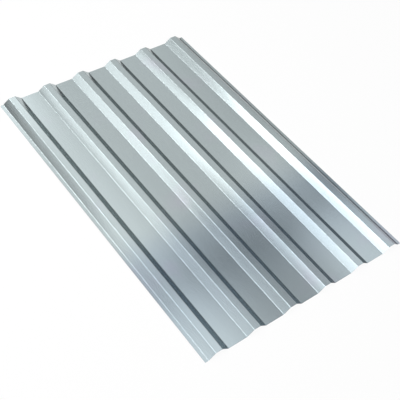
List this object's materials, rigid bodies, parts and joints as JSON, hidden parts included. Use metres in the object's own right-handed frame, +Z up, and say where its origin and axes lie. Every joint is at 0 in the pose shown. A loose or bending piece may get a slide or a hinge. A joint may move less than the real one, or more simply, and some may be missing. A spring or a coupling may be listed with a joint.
{
  "type": "corrugated metal sheet",
  "caption": "Long flat-lying sheet of bright zinc-coated steel, roll-formed into evenly spaced trapezoidal ribs with wide flat pans between them, for roofing or cladding.",
  "frame": {"origin": "middle of the flat plane under the pans and lips that the sheet lies on", "axes": "+X across the ribs, from the wider lip to the narrower lip; +Y along the ribs; +Z up, to the side the ribs stand on"},
  "size_m": [1.1346, 1.75, 0.027],
  "materials": {
    "zinc_coated_steel": "smooth semi-gloss zinc coating, as rolled"
  },
  "bodies": {
    "root": {"corrugated_sheet": "zinc_coated_steel"}
  },
  "joints": []
}
